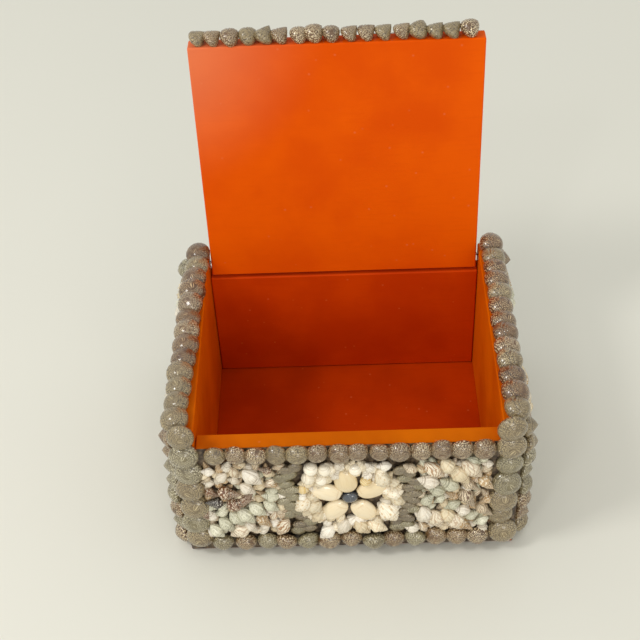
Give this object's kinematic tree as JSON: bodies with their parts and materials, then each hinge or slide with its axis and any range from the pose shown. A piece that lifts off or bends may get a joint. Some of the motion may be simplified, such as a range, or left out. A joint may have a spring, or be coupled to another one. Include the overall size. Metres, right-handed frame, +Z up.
{
  "type": "shell-covered hinged box",
  "caption": "Wooden box with a hinged lid, painted orange inside, its outside covered in glued sea shells.",
  "frame": {"origin": "middle of the underside, on the surface that the box stands on", "axes": "+Z up, -Y towards the front, +X to the front's right"},
  "size_m": [0.1886, 0.1674, 0.228],
  "materials": {
    "orange_paint": "satin paint",
    "speckled_shell": "satin",
    "cream_shell": "satin",
    "glossy_oval_shell": "gloss",
    "white_shell": "satin",
    "dark_shell": "gloss",
    "nail_steel": "dull"
  },
  "bodies": {
    "box": {"back_bottom_row": "speckled_shell", "back_field": "cream_shell", "back_left_column": "speckled_shell", "back_right_column": "speckled_shell", "back_top_row": "speckled_shell", "back_wall": "orange_paint", "floor_board": "orange_paint", "front_bottom_row": "speckled_shell", "front_flower_heart": "dark_shell", "front_flower_ring": "white_shell", "front_left_column": "speckled_shell", "front_left_divider": "speckled_shell", "front_left_field": "cream_shell", "front_petal_1": "glossy_oval_shell", "front_petal_2": "glossy_oval_shell", "front_petal_3": "glossy_oval_shell", "front_petal_4": "glossy_oval_shell", "front_petal_5": "glossy_oval_shell", "front_right_column": "speckled_shell", "front_right_divider": "speckled_shell", "front_right_field": "cream_shell", "front_top_row": "speckled_shell", "front_wall": "orange_paint", "hinge_nail_left": "nail_steel", "hinge_nail_right": "nail_steel", "left_back_column": "speckled_shell", "left_back_field": "cream_shell", "left_bottom_row": "speckled_shell", "left_flower": "glossy_oval_shell", "left_front_column": "speckled_shell", "left_front_field": "cream_shell", "left_rim_shells": "speckled_shell", "left_wall": "orange_paint", "right_back_column": "speckled_shell", "right_back_field": "cream_shell", "right_bottom_row": "speckled_shell", "right_flower": "glossy_oval_shell", "right_front_column": "speckled_shell", "right_front_field": "cream_shell", "right_rim_shells": "speckled_shell", "right_wall": "orange_paint"},
    "lid": {"lid_back_border": "speckled_shell", "lid_board": "orange_paint", "lid_edge_row": "speckled_shell", "lid_flower_heart": "dark_shell", "lid_front_border": "speckled_shell", "lid_left_border": "speckled_shell", "lid_petal_1": "glossy_oval_shell", "lid_petal_2": "glossy_oval_shell", "lid_petal_3": "glossy_oval_shell", "lid_petal_4": "glossy_oval_shell", "lid_petal_5": "glossy_oval_shell", "lid_right_border": "speckled_shell", "lid_sunburst": "cream_shell"}
  },
  "joints": [
    {"name": "lid_hinge", "type": "hinge", "parent": "box", "child": "lid", "pos_m": [0, 0.065, 0.0851], "axis": [1, 0, 0], "range_deg": [0, 92.2]}
  ]
}
